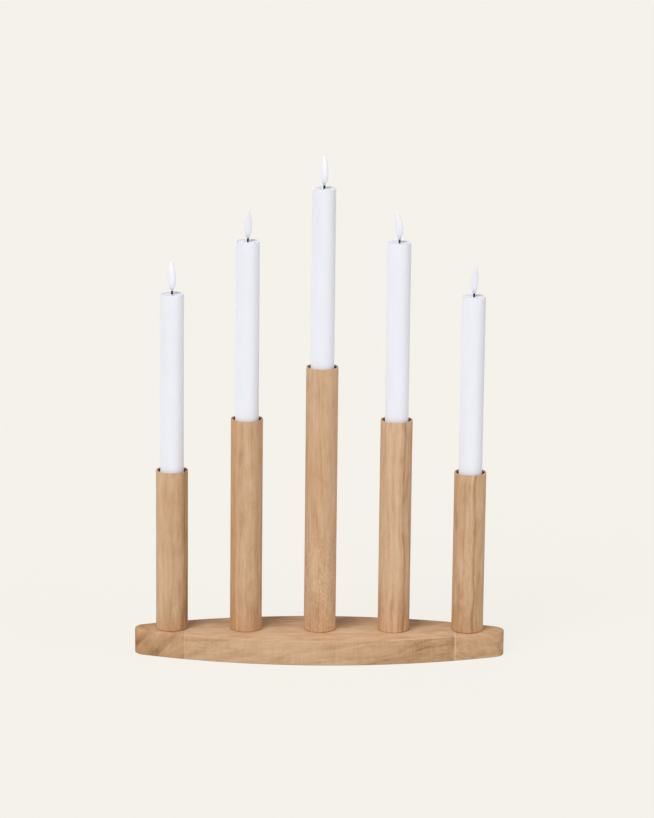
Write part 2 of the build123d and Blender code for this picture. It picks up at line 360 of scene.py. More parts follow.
def ray_flecks(finish, place, along, shift, full, none, gain):
    """Short pale slanting flecks, full up to one height and gone above another."""
    inputs = {"Vector": place, "Angle": FLECK_SLANT}
    slanted = finish.node("ShaderNodeVectorRotate", inputs, rotation_type="Y_AXIS").outputs[0]
    grain = finish.grain(slanted, FLECK_WAVES, shift, 1.0)
    fleck = finish.between(grain, *FLECK_RANGE, 0.0, gain)
    return finish.math("MULTIPLY", fleck, finish.between(along, full, none, 1.0, 0.0))


def glue_line(finish, colour, half_width, strength):
    """Pale line of glue along the block's joint."""
    object_x = finish.axes(finish.node("ShaderNodeTexCoord", {}).outputs["Object"])[0]
    ripple = finish.noise(finish.stretch(finish.place(), GLUE_WAVES))
    edge = finish.math("MULTIPLY_ADD", ripple, GLUE_RIPPLE * MM, (GLUE_X - GLUE_RIPPLE / 2) * MM)
    gap = finish.math("SUBTRACT", finish.math("ABSOLUTE", object_x), edge)
    share = finish.between(gap, half_width * MM, 2 * half_width * MM, strength, 0.0)
    return finish.mix(share, colour, GLUE)


def side_share(finish):
    """Value that is 1 on a block's sides and 0 on its top and underside."""
    normal_z = finish.axes(finish.node("ShaderNodeNewGeometry", {}).outputs["Normal"])[2]
    return finish.between(finish.math("ABSOLUTE", normal_z), 0.3, 0.8, 1.0, 0.0)


def saw_marks(finish, gain):
    """Faint upright marks of the saw on a block's sides, none on its top."""
    marks = finish.grain(finish.place(), SAW_WAVES, (0, 0, 0), 1.0)
    shade = finish.math("MULTIPLY", finish.math("SUBTRACT", marks, 0.5), gain)
    return finish.math("MULTIPLY", shade, side_share(finish))


def wood(name, middle, turn, seed, lift=0.0, waver=2.5, layer=9.0, layer_gain=0.10, uneven=4.0,
         mottle_gain=0.24, silk_gain=0.14, silk_width=2.1, fibre_gain=0.16, hair_gain=0.12, grain_and_light_bands=(),
         flecks=None, foot=False, warm=0.2, warm_side=None, blush=0.0, slopes=(), back_shade=None, sawn=None,
         glue=None):
    """Oiled wood with its grain along Z after the turn; a gain of 1 spans the tones from dark to pale."""
    finish = Finish(name, Specular_IOR_Level=0.02)
    shift = (seed * 17.3, seed * 9.1, seed * 31.7)
    straight = finish.place(middle, turn)
    bend = finish.noise(finish.stretch(straight, BEND_WAVES, shift), 2.0, 0.5, "Color")
    sway = finish.stretch(bend, (2 * waver, 2 * waver, 0.0), (-waver, -waver, 0.0))
    place = finish.stretch(straight, (1.0, 1.0, 1.0), sway)
    across, depth, along = finish.axes(place)[:3]

    # Growth layers of uneven width, each darkening slowly and then turning pale at once
    spread = finish.noise(finish.stretch(place, LAYER_WAVES, shift), 2.0, 0.5)
    leaning = finish.math("MULTIPLY_ADD", depth, LAYER_LEAN, across)
    reach = finish.math("MULTIPLY_ADD", spread, uneven * layer, leaning)
    phase = finish.math("FRACT", finish.math("DIVIDE", reach, layer))
    darkening = finish.between(phase, LAYER_START, LAYER_TURN, 1.0, 0.0)
    layers = finish.math("MAXIMUM", darkening, finish.between(phase, LAYER_TURN, 1.0))

    # Mottled patches, silky streaks, fibres, hairs and pores
    mottle = finish.grain(place, MOTTLE_WAVES, shift, 2.0)
    silk = finish.grain(place, (1 / silk_width, 1 / silk_width, SILK_WAVES_ALONG), shift, 3.0)
    fibre = finish.grain(place, FIBRE_WAVES, shift, 3.0)
    hair = finish.grain(place, HAIR_WAVES, shift, 2.0)
    pitted = finish.noise(finish.stretch(place, PORE_WAVES, shift), 1.0, 0.4)
    pores = finish.between(pitted, *PORE_RANGE)
    tone = finish.weighted(0.5 + lift, [(layers, layer_gain), (mottle, mottle_gain), (silk, silk_gain),
                                        (fibre, fibre_gain), (hair, hair_gain)])
    tone = finish.math("MULTIPLY_ADD", pores, PORE_GAIN, tone)
    # Bands with the grain; some are painted light and shade on a post's sides
    for where, half_width, gain in grain_and_light_bands:
        tone = finish.math("ADD", tone, grain_and_light_band(finish, across, where, half_width, gain))
    for start, end, gain in slopes:
        shade = finish.math("MULTIPLY", finish.between(along, start, end, 0.0, gain), side_share(finish))
        tone = finish.math("ADD", tone, shade)
    # Painted shade from the posts: the base darker towards its back
    if back_shade:
        start, end, gain = back_shade
        tone = finish.math("ADD", tone, finish.between(depth, start, end, 0.0, gain))
    if sawn:
        tone = finish.math("ADD", tone, saw_marks(finish, sawn))
    # Painted contact shadow line and painted shade, darker towards a post's foot
    if foot:
        tone = finish.math("ADD", tone, finish.between(along, 0.0, FOOT_SHADOW_LINE, FOOT_SHADOW_LINE_GAIN, 0.0))
        tone = finish.math("ADD", tone, finish.between(along, 0.0, FOOT_SHADE, FOOT_SHADE_GAIN, 0.0))
    if flecks:
        tone = finish.math("ADD", tone, ray_flecks(finish, place, along, shift, *flecks))
    colour = finish.ramp(tone, [(0.02, DARK), (0.30, BROWN), (0.52, TAN), (0.74, LIGHT), (0.98, PALE)])

    # Warmer and pinker patches, heartwood on one side, and painted warm bounce light at a post's foot
    patches = finish.noise(finish.stretch(place, WARM_WAVES, shift[::-1]))
    warmth_and_foot_bounce = finish.between(patches, *WARM_RANGE, 0.0, warm)
    if warm_side:
        near, far, strength = warm_side
        warmth_and_foot_bounce = finish.math("MAXIMUM", warmth_and_foot_bounce, finish.between(across, near, far, strength, 0.0))
    # Painted warm bounce light from the base, near a post's foot
    if foot:
        foot_bounce_light = finish.between(along, 0.0, FOOT_BOUNCE_LIGHT, FOOT_BOUNCE_LIGHT_SHARE, 0.0)
        warmth_and_foot_bounce = finish.math("MAXIMUM", warmth_and_foot_bounce, foot_bounce_light)
    colour = finish.mix(warmth_and_foot_bounce, colour, ORANGE)
    if blush:
        colour = finish.mix(finish.between(silk, 0.4, 0.9, 0.0, blush), colour, BLUSH)
    if glue:
        colour = glue_line(finish, colour, *glue)

    rough = finish.math("MULTIPLY_ADD", fibre, 0.12, 0.66)
    relief = finish.math("SUBTRACT", finish.math("ADD", fibre, hair), pores)
    finish.bump(relief, 0.12, 0.04)
    return finish.paint(Base_Color=colour, Roughness=rough)


# Each post's own wood; a band is its place across the post, its half width and its gain. The bands at 13 mm
# either side of the left outer post, and at 13 mm right of the centre and right outer posts, are painted
# light and shade on the post's sides
POST_WOOD = [
    dict(seed=1, grain_and_light_bands=[(-13.0, 9.0, 0.18), (13.0, 9.0, -0.26)]),
    dict(seed=2, lift=-0.02, warm_side=(-9.0, -5.0, 0.4),
         grain_and_light_bands=[(-11.0, 1.5, -0.16), (-8.2, 1.1, 0.18), (0, 6, 0.05)]),
    dict(seed=3, lift=0.02, blush=0.3, flecks=(60.0, 135.0, 0.30), grain_and_light_bands=[(13.0, 6.0, 0.12)]),
    dict(seed=4, lift=0.04, waver=3.5, silk_gain=0.34, silk_width=3.2, warm=0.1, blush=0.6,
         grain_and_light_bands=[(-9.0, 2.4, 0.10), (-5.0, 3.0, 0.14), (-1.8, 1.0, -0.14), (2.0, 3.4, 0.16),
                  (8.4, 2.4, -0.28)]),
    dict(seed=5, lift=-0.04, waver=3.5, silk_gain=0.20, silk_width=3.0, layer_gain=0.12, warm=0.4,
         grain_and_light_bands=[(2.0, 1.5, 0.16), (5.0, 2.0, -0.26), (13.0, 4.5, 0.24)]),
]


def post_wood(index):
    middle = (post_x(index), 0.0, BASE_THICKNESS)
    # Every post gets the painted shadow, shade and bounce light at its foot
    return wood(f"post_wood_{PLACES[index]}", middle, (0, 0, 0), foot=True, **POST_WOOD[index])


# Depths where the base is painted darker towards its back, as painted shade from the posts, and how much
# darker
BACK_SHADE = (-8.0, 24.0, -0.22)

# Each block's own wood; a slope is where it starts and ends along the grain and its gain on the sides
BASE_WOOD = {
    "base_centre_block": dict(
        turn=(0, -81, 0), seed=6, layer=14.0, silk_gain=0.15, fibre_gain=0.15, warm=0.1,
        slopes=[(-10.0, 125.0, -0.25), (-60.0, -125.0, -0.08)], sawn=0.10),
    # The left block's slope paints shade on the sides of its nose
    "base_left_block": dict(
        turn=(0, -36, 0), seed=7, lift=-0.20, waver=1.2, layer=17.0, layer_gain=0.18, uneven=0.5,
        fibre_gain=0.14, warm=0.7, slopes=[(-88.0, -100.0, -0.18)], glue=(0.4, 0.45)),
    "base_right_block": dict(
        turn=(0, -105, 0), seed=8, lift=-0.10, layer=18.0, layer_gain=0.12, silk_gain=0.20, glue=(0.9, 0.4)),
}


def wax():
    """Bluish white wax coat, faintly mottled, with the soft bloom that evens out its shading."""
    finish = Finish("candle_wax", Diffuse_Roughness=0.3, Specular_IOR_Level=0.1, Sheen_Weight=1.0,
                    Sheen_Roughness=1.0)
    place = finish.place()
    cloud = finish.noise(finish.stretch(place, (0.09, 0.09, 0.03)), 3.0, 0.55)
    skin = finish.noise(finish.stretch(place, (0.8, 0.8, 0.25)), 3.0, 0.5)
    colour = finish.ramp(cloud, [(0.25, tint(228, 230, 243)), (0.5, tint(231, 233, 246)),
                                 (0.75, tint(234, 236, 248))])
    finish.bump(skin, 0.15, 0.08)
    return finish.paint(Base_Color=colour, Roughness=finish.math("MULTIPLY_ADD", skin, 0.18, 0.36))


def top_shade_wax():
    """Wax painted greyer on the lip and in the dish round the wick, as painted shade on the candle's top."""
    finish = Finish("candle_top_painted_shade", Diffuse_Roughness=1.0, Specular_IOR_Level=0.1)
    cloud = finish.noise(finish.stretch(finish.place(), (0.4, 0.4, 0.4)), 3.0, 0.55)
    colour = finish.ramp(cloud, [(0.3, tint(196, 197, 205)), (0.7, tint(205, 206, 214))])
    finish.bump(cloud, 0.2, 0.1)
    return finish.paint(Base_Color=colour, Roughness=finish.math("MULTIPLY_ADD", cloud, 0.2, 0.40))


def flame_plastic():
    """Milky moulded plastic that its lamp lights from inside, bluer at its foot."""
    finish = Finish("flame_milky", Roughness=0.4, Sheen_Weight=0.3, Sheen_Roughness=0.6,
                    Emission_Strength=0.33)
    rise = finish.node("ShaderNodeAttribute", {}, attribute_name="rise").outputs["Fac"]
    cloud = finish.noise(finish.stretch(finish.place(), (0.3, 0.3, 0.12)), 2.0)
    height = finish.math("MULTIPLY_ADD", cloud, 0.16, finish.math("ADD", rise, -0.08))
    plastic = finish.ramp(height, [(0.0, tint(206, 208, 218)), (0.25, tint(198, 198, 210)),
                                   (1.0, tint(195, 190, 194))])
    glow = finish.ramp(height, [(0.0, tint(236, 239, 253)), (0.3, tint(248, 248, 255)),
                                (1.0, tint(255, 250, 246))])
    return finish.paint(Base_Color=plastic, Emission_Color=glow)


def wick_yarn():
    """Black yarn under a milky collar that carries the flame."""
    finish = Finish("wick_black_yarn")
    collar = finish.node("ShaderNodeAttribute", {}, attribute_name="collar").outputs["Fac"]
    fluff = finish.noise(finish.stretch(finish.place(), (4.0, 4.0, 4.0)), 4.0, 0.6)
    black = finish.ramp(fluff, [(0.3, tint(24, 24, 26)), (0.7, tint(46, 46, 50))])
    milky = finish.ramp(fluff, [(0.3, tint(214, 217, 232)), (0.7, tint(226, 228, 240))])
    colour = finish.mix(finish.between(collar, 0.4, 0.6), black, milky)
    finish.bump(fluff, 0.3, 0.05)
    return finish.paint(Base_Color=colour, Roughness=finish.between(fluff, 0.3, 0.7, 0.7, 0.95))


def mottled(name, dark, light, waves, rough_low, rough_high, stretch=(1, 1, 1), **constants):
    """Moulding or metal with a fine uneven tone, roughness and surface, of so many waves per millimetre."""
    finish = Finish(name, **constants)
    size = tuple(waves * share for share in stretch)
    grain = finish.noise(finish.stretch(finish.place(), size), 4.0, 0.6)
    colour = finish.ramp(grain, [(0.3, dark), (0.7, light)])
    finish.bump(grain, 0.1, 0.05)
    rough = finish.between(grain, 0.3, 0.7, rough_low, rough_high)
    return finish.paint(Base_Color=colour, Roughness=rough)


# Mesh makers
def ride_as(piece, node):
    """Put a finished piece on its node's body, in that node's place."""
    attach(piece, frame["nodes"][node]["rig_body"])
    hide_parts(node)
    return piece


def finish_mesh(name, bm, materials, sharp=SHARP_EDGE):
    """Close up a mesh, shade it smooth between its sharp edges and make it an object."""
    bmesh.ops.recalc_face_normals(bm, faces=bm.faces)
    mesh = bpy.data.meshes.new(name)
    bm.to_mesh(mesh)
    bm.free()
    for material in materials:
        mesh.materials.append(material)
    mesh.shade_smooth()
    mesh.set_sharp_from_angle(angle=math.radians(sharp))
    piece = bpy.data.objects.new(name, mesh)
    bpy.context.scene.collection.objects.link(piece)
    return piece


def arc(middle_r, middle_z, radius, start, end, steps=5):
    """Points of a rounded corner in a (radius, height) profile, from one angle to another."""
    angles = [math.radians(start + (end - start) * step / steps) for step in range(steps + 1)]
    return [(middle_r + radius * math.cos(angle), middle_z + radius * math.sin(angle)) for angle in angles]


def turn_profile(bm, profile, x, z, segments, closed=True, painted=()):
    """Turn a (radius, height) profile about an upright axis; painted steps take the second material."""
    rings = []
    for radius, height in profile:
        count = segments if radius > 1e-6 else 1
        angles = [2 * math.pi * step / segments for step in range(count)]
        rings.append([bm.verts.new(((x + radius * math.cos(angle)) * MM, radius * math.sin(angle) * MM,
                                    (z + height) * MM)) for angle in angles])
    pairs = list(zip(rings, rings[1:] + rings[:1]))
    for number, (low, high) in enumerate(pairs if closed else pairs[:-1]):
        for step in range(segments):
            after = (step + 1) % segments
            corners = [low[step % len(low)], low[after % len(low)]]
            corners += [high[after % len(high)], high[step % len(high)]]
            corners = list(dict.fromkeys(corners))
            if len(corners) > 2:
                bm.faces.new(corners).material_index = 1 if number in painted else 0
    return rings


# The base's outline: two long arcs that run into a round nose at each end
NOSE_X = BASE_HALF_LENGTH - NOSE_RADIUS
ARC_SPAN = NOSE_X ** 2 + BASE_HALF_DEPTH ** 2 - NOSE_RADIUS ** 2
ARC_RADIUS = ARC_SPAN / (2 * (BASE_HALF_DEPTH - NOSE_RADIUS))


def side_y(x, inset):
    """Half depth of the base's outline at x, drawn in by an inset."""
    return BASE_HALF_DEPTH - ARC_RADIUS + math.sqrt((ARC_RADIUS - inset) ** 2 - x ** 2)


def nose_points(inset):
    """Points round the right-hand nose from front to back, drawn in by an inset."""
    sweep = math.pi / 2 - math.asin(NOSE_X / (ARC_RADIUS - NOSE_RADIUS))
    angles = [-sweep + 2 * sweep * step / NOSE_STEPS for step in range(NOSE_STEPS + 1)]
    reach = NOSE_RADIUS - inset
    return [(NOSE_X + reach * math.cos(angle), reach * math.sin(angle)) for angle in angles]


def block_outline(node, inset):
    """Outline of one base block, front edge first, then the end or the glue face, then the back."""
    if node == "base_centre_block":
        xs = [-GLUE_X + 2 * GLUE_X * step / CENTRE_EDGE_STEPS for step in range(CENTRE_EDGE_STEPS + 1)]
        front = [(x, -side_y(x, inset)) for x in xs]
        return front + [(x, -y) for x, y in reversed(front)]
    nose = nose_points(inset)
    meet = nose[0][0]
    xs = [GLUE_X + (meet - GLUE_X) * step / END_EDGE_STEPS for step in range(END_EDGE_STEPS)]
    front = [(x, -side_y(x, inset)) for x in xs]
    right = front + nose + [(x, -y) for x, y in reversed(front)]
    if node == "base_right_block":
        return right
    return [(-x, y) for x, y in reversed(right)]


def edge_levels():
    """Inset and height of each ring round a base block, with its edges eased."""
    top = BASE_THICKNESS
    low = [(EDGE_ROUND - x, EDGE_ROUND + y) for x, y in arc(0, 0, EDGE_ROUND, 270, 360)]
    high = [(EDGE_ROUND - x, top - EDGE_ROUND + y) for x, y in arc(0, 0, EDGE_ROUND, 0, 90)]
    return low + high


def screw_hole(x):
    """Cutter for one screw's hole and counterbore in the base."""
    bm = bmesh.new()
    shank = SCREW_SHANK_RADIUS + SCREW_ROOM
    head = SCREW_HEAD_RADIUS + SCREW_ROOM
    seat = SCREW_RECESS + SCREW_ROOM
    top = BASE_THICKNESS + CUT_OVERSHOOT
    profile = [(0, -CUT_OVERSHOOT), (COUNTERBORE_RADIUS, -CUT_OVERSHOOT), (COUNTERBORE_RADIUS, seat),
               (head, seat), (shank, seat + head - shank), (shank, top), (0, top)]
    turn_profile(bm, profile, x, 0, HOLE_STEPS, closed=False)
    return finish_mesh("screw_hole", bm, [])


def base_block(node):
    """One block of the base, with eased edges and its screws' holes."""
    bm = bmesh.new()
    rings = []
    for inset, height in edge_levels():
        outline = block_outline(node, inset)
        rings.append([bm.verts.new((x * MM, y * MM, height * MM)) for x, y in outline])
    count = len(rings[0])
    for low, high in zip(rings, rings[1:]):
        for step in range(count):
            after = (step + 1) % count
            bm.faces.new((low[step], low[after], high[after], high[step]))
    for ring in (rings[0], rings[-1]):
        for step in range(count // 2 - 1):
            corners = [ring[step], ring[step + 1], ring[count - 2 - step], ring[count - 1 - step]]
            bm.faces.new(list(dict.fromkeys(corners)))
        if count % 2:
            half = count // 2
            bm.faces.new((ring[half - 1], ring[half], ring[half + 1]))
    grain = wood(f"{node}_grain", (0, 0, BASE_THICKNESS / 2), back_shade=BACK_SHADE, **BASE_WOOD[node])
    piece = finish_mesh(f"{node}_wood", bm, [grain])
    low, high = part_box(node)
    holes = [post_x(index) for index in range(len(PLACES))]
    cutters = [screw_hole(x) for x in holes
               if low.x < (x + COUNTERBORE_RADIUS) * MM and (x - COUNTERBORE_RADIUS) * MM < high.x]
    for cutter in cutters:
        cut = piece.modifiers.new("screw hole", "BOOLEAN")
        cut.object = cutter
        cut.solver = "EXACT"
    settled = bpy.data.meshes.new_from_object(piece.evaluated_get(bpy.context.evaluated_depsgraph_get()))
    piece.modifiers.clear()
    piece.data = settled
    settled.set_sharp_from_angle(angle=math.radians(SHARP_EDGE))
    for cutter in cutters:
        bpy.data.objects.remove(cutter)
    return ride_as(piece, node)


def post(index):
    """Turned post with an eased rim, a recess, the cup's bore and the screw's pilot hole."""
    top = rim_z(index)
    pilot = SCREW_SHANK_RADIUS + SCREW_ROOM
    pilot_top = SCREW_TOP + PILOT_ROOM
    foot = BASE_THICKNESS
    rim = arc(POST_RADIUS - RIM_ROUND, top - RIM_ROUND, RIM_ROUND, 0, 90)
    inner = arc(RECESS_RADIUS + RIM_INNER_ROUND, top - RIM_INNER_ROUND, RIM_INNER_ROUND, 90, 180)
    wall = [(POST_RADIUS, foot + (top - foot) * step / POST_LEVELS) for step in range(1, POST_LEVELS)]
    profile = [(pilot, foot), (POST_RADIUS - FOOT_CHAMFER, foot), (POST_RADIUS, foot + FOOT_CHAMFER)]
    profile += wall + rim + inner
    profile += [(RECESS_RADIUS, top - RECESS_DEPTH), (BORE_RADIUS, top - RECESS_DEPTH),
                (BORE_RADIUS, top - BORE_DEPTH), (0, top - BORE_DEPTH)]
    hole = [(0, pilot_top), (pilot, pilot_top - SCREW_TIP)]
    bm = bmesh.new()
    outside = turn_profile(bm, profile, post_x(index), 0, POST_STEPS, closed=False)
    inside = turn_profile(bm, hole, post_x(index), 0, POST_STEPS, closed=False)
    for step in range(POST_STEPS):
        after = (step + 1) % POST_STEPS
        bm.faces.new((inside[1][step], inside[1][after], outside[0][after], outside[0][step]))
    piece = finish_mesh(f"{PLACES[index]}_post_wood", bm, [post_wood(index)])
    return ride_as(piece, f"{PLACES[index]}_post")


def cup(index, metal):
    """Pressed stepped cup, hung on the ledge, with a round-edged collar up to just below the rim; the
    collar's dark brown is painted shade standing in for the shaded gap beside the candle.
    """
    ledge = SOCKET_DEPTH - RECESS_DEPTH
    lip = ledge + CUP_WALL
    roll = CUP_WALL / 2
    bend = CUP_BEND
    steps = CUP_BEND_STEPS
    collar_inner = CUP_COLLAR_RADIUS - CUP_WALL
    collar_top = SOCKET_DEPTH - CUP_COLLAR_DROP
    profile = [(0, -CUP_WALL)]
    profile += arc(CUP_OUTER_RADIUS - bend, -CUP_WALL + bend, bend, 270, 360, steps)
    profile += [(CUP_OUTER_RADIUS, ledge)]
    profile += arc(CUP_COLLAR_RADIUS - bend, ledge + bend, bend, 270, 360, steps)
    profile += arc(CUP_COLLAR_RADIUS - roll, collar_top - roll, roll, 0, 180, CUP_ROLL_STEPS)
    profile += arc(collar_inner - bend, lip + bend, bend, 0, -90, steps)
    profile += arc(CUP_INNER_RADIUS + bend, lip - bend, bend, 90, 180, steps)
    profile += arc(CUP_INNER_RADIUS - bend, bend, bend, 0, -90, steps) + [(0, 0)]
    bm = bmesh.new()
    turn_profile(bm, profile, post_x(index), candle_z(index), CUP_STEPS, closed=False)
    piece = finish_mesh(f"{PLACES[index]}_cup_gap_shade_metal", bm, [metal])
    return ride_as(piece, f"{PLACES[index]}_cup")


def candle(index, coat, top_shade):
    """Hollow taper with an eased lip and a shallow dish round the wick, both in greyer wax painted as shade
    on the top.
    """
    foot = CANDLE_FOOT
    top = CANDLE_LENGTH
    edge = CANDLE_EDGE_ROUND
    dish_edge = CANDLE_RADIUS - LIP_WIDTH
    hole = WICK_RADIUS + WICK_ROOM
    wall = [(CANDLE_RADIUS, foot + (top - foot) * step / CANDLE_LEVELS) for step in range(1, CANDLE_LEVELS)]
    profile = [(CANDLE_BORE_RADIUS, foot), (CANDLE_RADIUS - CANDLE_FOOT_EASE, foot),
               (CANDLE_RADIUS, foot + CANDLE_FOOT_EASE)] + wall
    first_top = len(profile) + LIP_STEPS // 2
    profile += arc(CANDLE_RADIUS - edge, top - edge, edge, 0, 90, LIP_STEPS) + [(dish_edge + LIP_EASE, top)]
    for step in range(1, DISH_STEPS + 1):
        share = step / DISH_STEPS
        sink = DISH_DEPTH * math.sin(math.pi / 2 * share) ** DISH_BEND
        profile.append((dish_edge + (hole - dish_edge) * share, top - sink))
    last_top = len(profile) - 1
    profile += [(hole, top - CANDLE_TOP_WALL), (CANDLE_BORE_RADIUS, top - CANDLE_TOP_WALL)]
    bm = bmesh.new()
    painted = range(first_top, last_top)
    turn_profile(bm, profile, post_x(index), candle_z(index), CANDLE_STEPS, painted=painted)
    piece = finish_mesh(f"{PLACES[index]}_candle_wax", bm, [coat, top_shade])
    return ride_as(piece, f"{PLACES[index]}_candle_shell")


def flame_girth(share):
    """Share of the flame's full width at a share of its height: full and low, then drawn to a tip."""
    return math.sin(math.pi * share ** FLAME_FULLNESS) ** FLAME_POINT


def flame(index, plastic):
    """Moulded flame that leans as it rises, with a pocket for the lamp in its foot."""
    foot = CANDLE_LENGTH + WICK_HEIGHT + candle_z(index)
    turn = math.radians(FLAME_TURNS[index])
    bm = bmesh.new()
    rise_layer = bm.verts.layers.float.new("rise")

    def ring(radius, rise, height):
        """Ring of points round the leaning middle line at one height."""
        lean = FLAME_LEAN * rise ** 2
        made = []
        for step in range(FLAME_STEPS):
            angle = 2 * math.pi * step / FLAME_STEPS
            x = post_x(index) + lean * math.cos(turn) + radius * math.cos(angle)
            y = lean * math.sin(turn) + radius * math.sin(angle)
            vert = bm.verts.new((x * MM, y * MM, height * MM))
            vert[rise_layer] = rise
            made.append(vert)
        return made

    rings = [ring(LAMP_POCKET_RADIUS, 0.0, foot + LAMP_POCKET_DEPTH), ring(LAMP_POCKET_RADIUS, 0.0, foot)]
    for level in range(FLAME_LEVELS):
        rise = (1 - math.cos(math.pi * level / FLAME_LEVELS)) / 2
        share = FLAME_FOOT_SHARE + (FLAME_TIP_SHARE - FLAME_FOOT_SHARE) * rise
        rings.append(ring(FLAME_RADIUS * flame_girth(share), rise, foot + FLAME_HEIGHT * rise))
    for low, high in zip(rings, rings[1:]):
        for step in range(FLAME_STEPS):
            after = (step + 1) % FLAME_STEPS
            bm.faces.new((low[step], low[after], high[after], high[step]))
    bm.faces.new(rings[0])
    tip_x = post_x(index) + FLAME_LEAN * math.cos(turn)
    tip_y = FLAME_LEAN * math.sin(turn)
    tip = bm.verts.new((tip_x * MM, tip_y * MM, (foot + FLAME_HEIGHT) * MM))
    tip[rise_layer] = 1.0
    for step in range(FLAME_STEPS):
        bm.faces.new((rings[-1][step], rings[-1][(step + 1) % FLAME_STEPS], tip))
    piece = finish_mesh(f"{PLACES[index]}_flame_moulding", bm, [plastic], SHARP_FLAME_EDGE)
    return ride_as(piece, f"{PLACES[index]}_flame")


# Geometry Nodes trees
def new_tree(name, sizes):
    """Node tree with a geometry input and output and named inputs, its two ends and the inputs' keys."""
    tree = bpy.data.node_groups.new(name, "GeometryNodeTree")
    tree.interface.new_socket("Geometry", in_out="INPUT", socket_type="NodeSocketGeometry")
    keys = {}
    for label, kind in sizes.items():
        socket = tree.interface.new_socket(label, in_out="INPUT", socket_type=kind)
        keys[label] = socket.identifier
    tree.interface.new_socket("Geometry", in_out="OUTPUT", socket_type="NodeSocketGeometry")
    start = tree.nodes.new("NodeGroupInput")
    end = tree.nodes.new("NodeGroupOutput")
    return tree, start, end, keys


def join(tree, pairs):
    """Link each (output, input) pair in a node tree."""
    for source, target in pairs:
        tree.links.new(source, target)


def settle(piece, tree, keys, values):
    """Run a tree on a piece with the given sizes and keep the plain mesh that it makes."""
    modifier = piece.modifiers.new(tree.name, "NODES")
    modifier.node_group = tree
    for label, value in values.items():
        modifier[keys[label]] = value
    result = bpy.data.meshes.new_from_object(piece.evaluated_get(bpy.context.evaluated_depsgraph_get()))
    piece.modifiers.remove(modifier)
    piece.data = result
    return piece


def screw_row_tree():
    """Copies one screw along the row of posts."""
    tree, start, end, keys = new_tree("screw row", {
        "Count": "NodeSocketInt", "Pitch": "NodeSocketFloat", "First": "NodeSocketFloat",
        "Steel": "NodeSocketMaterial"})
    line = tree.nodes.new("GeometryNodeMeshLine")
    first = tree.nodes.new("ShaderNodeCombineXYZ")
    step = tree.nodes.new("ShaderNodeCombineXYZ")
    copies = tree.nodes.new("GeometryNodeInstanceOnPoints")
    real = tree.nodes.new("GeometryNodeRealizeInstances")
    steel = tree.nodes.new("GeometryNodeSetMaterial")
    join(tree, [(start.outputs["Count"], line.inputs["Count"]),
                (start.outputs["First"], first.inputs["X"]),
                (start.outputs["Pitch"], step.inputs["X"]),
                (first.outputs[0], line.inputs["Start Location"]),
                (step.outputs[0], line.inputs["Offset"]),
                (line.outputs[0], copies.inputs["Points"]),
                (start.outputs["Geometry"], copies.inputs["Instance"]),
                (copies.outputs[0], real.inputs[0]),
                (real.outputs[0], steel.inputs["Geometry"]),
                (start.outputs["Steel"], steel.inputs["Material"]),
                (steel.outputs[0], end.inputs["Geometry"])])
    return tree, keys


def one_screw(steel):
    """Countersunk wood screw with its head down: a cross recess, a threaded shank and a point."""
    bm = bmesh.new()
    seat = SCREW_RECESS
    cone = seat + SCREW_HEAD_RADIUS - SCREW_SHANK_RADIUS
    tip = SCREW_TOP - SCREW_TIP
    profile = [(0, seat + CROSS_POINT), (CROSS_FLOOR_RADIUS, seat + CROSS_DEPTH), (CROSS_RADIUS, seat)]
    cross_ring = len(profile) - 1
    profile += [(SCREW_HEAD_RADIUS - SCREW_EASE, seat), (SCREW_HEAD_RADIUS, seat + SCREW_EASE),
                (SCREW_SHANK_RADIUS, cone), (SCREW_SHANK_RADIUS - SCREW_EASE, cone + SCREW_PLAIN)]
    turns = int((tip - cone - THREAD_START) / THREAD_PITCH)
    for turn in range(turns):
        z = cone + THREAD_START + turn * THREAD_PITCH
        profile += [(THREAD_ROOT_RADIUS, z), (SCREW_SHANK_RADIUS - THREAD_ROOM, z + THREAD_FLANK),
                    (THREAD_ROOT_RADIUS, z + THREAD_FOOT)]
    profile += [(POINT_RADIUS, tip), (0, SCREW_TOP)]
    rings = turn_profile(bm, profile, 0, 0, SCREW_STEPS, closed=False)
    for number, vert in enumerate(rings[cross_ring]):
        angle = 2 * math.pi * number / SCREW_STEPS
        cross = max(abs(math.cos(2 * angle)), CROSS_WAIST)
        vert.co.x *= cross
        vert.co.y *= cross
    return finish_mesh("post_screws_steel", bm, [steel])


def screws(steel):
    """All the posts' screws, from copies of one."""
    tree, keys = screw_row_tree()
    piece = one_screw(steel)
    settle(piece, tree, keys, {
        "Count": len(PLACES), "Pitch": POST_PITCH * MM, "First": post_x(0) * MM, "Steel": steel})
    return ride_as(piece, "post_screws")


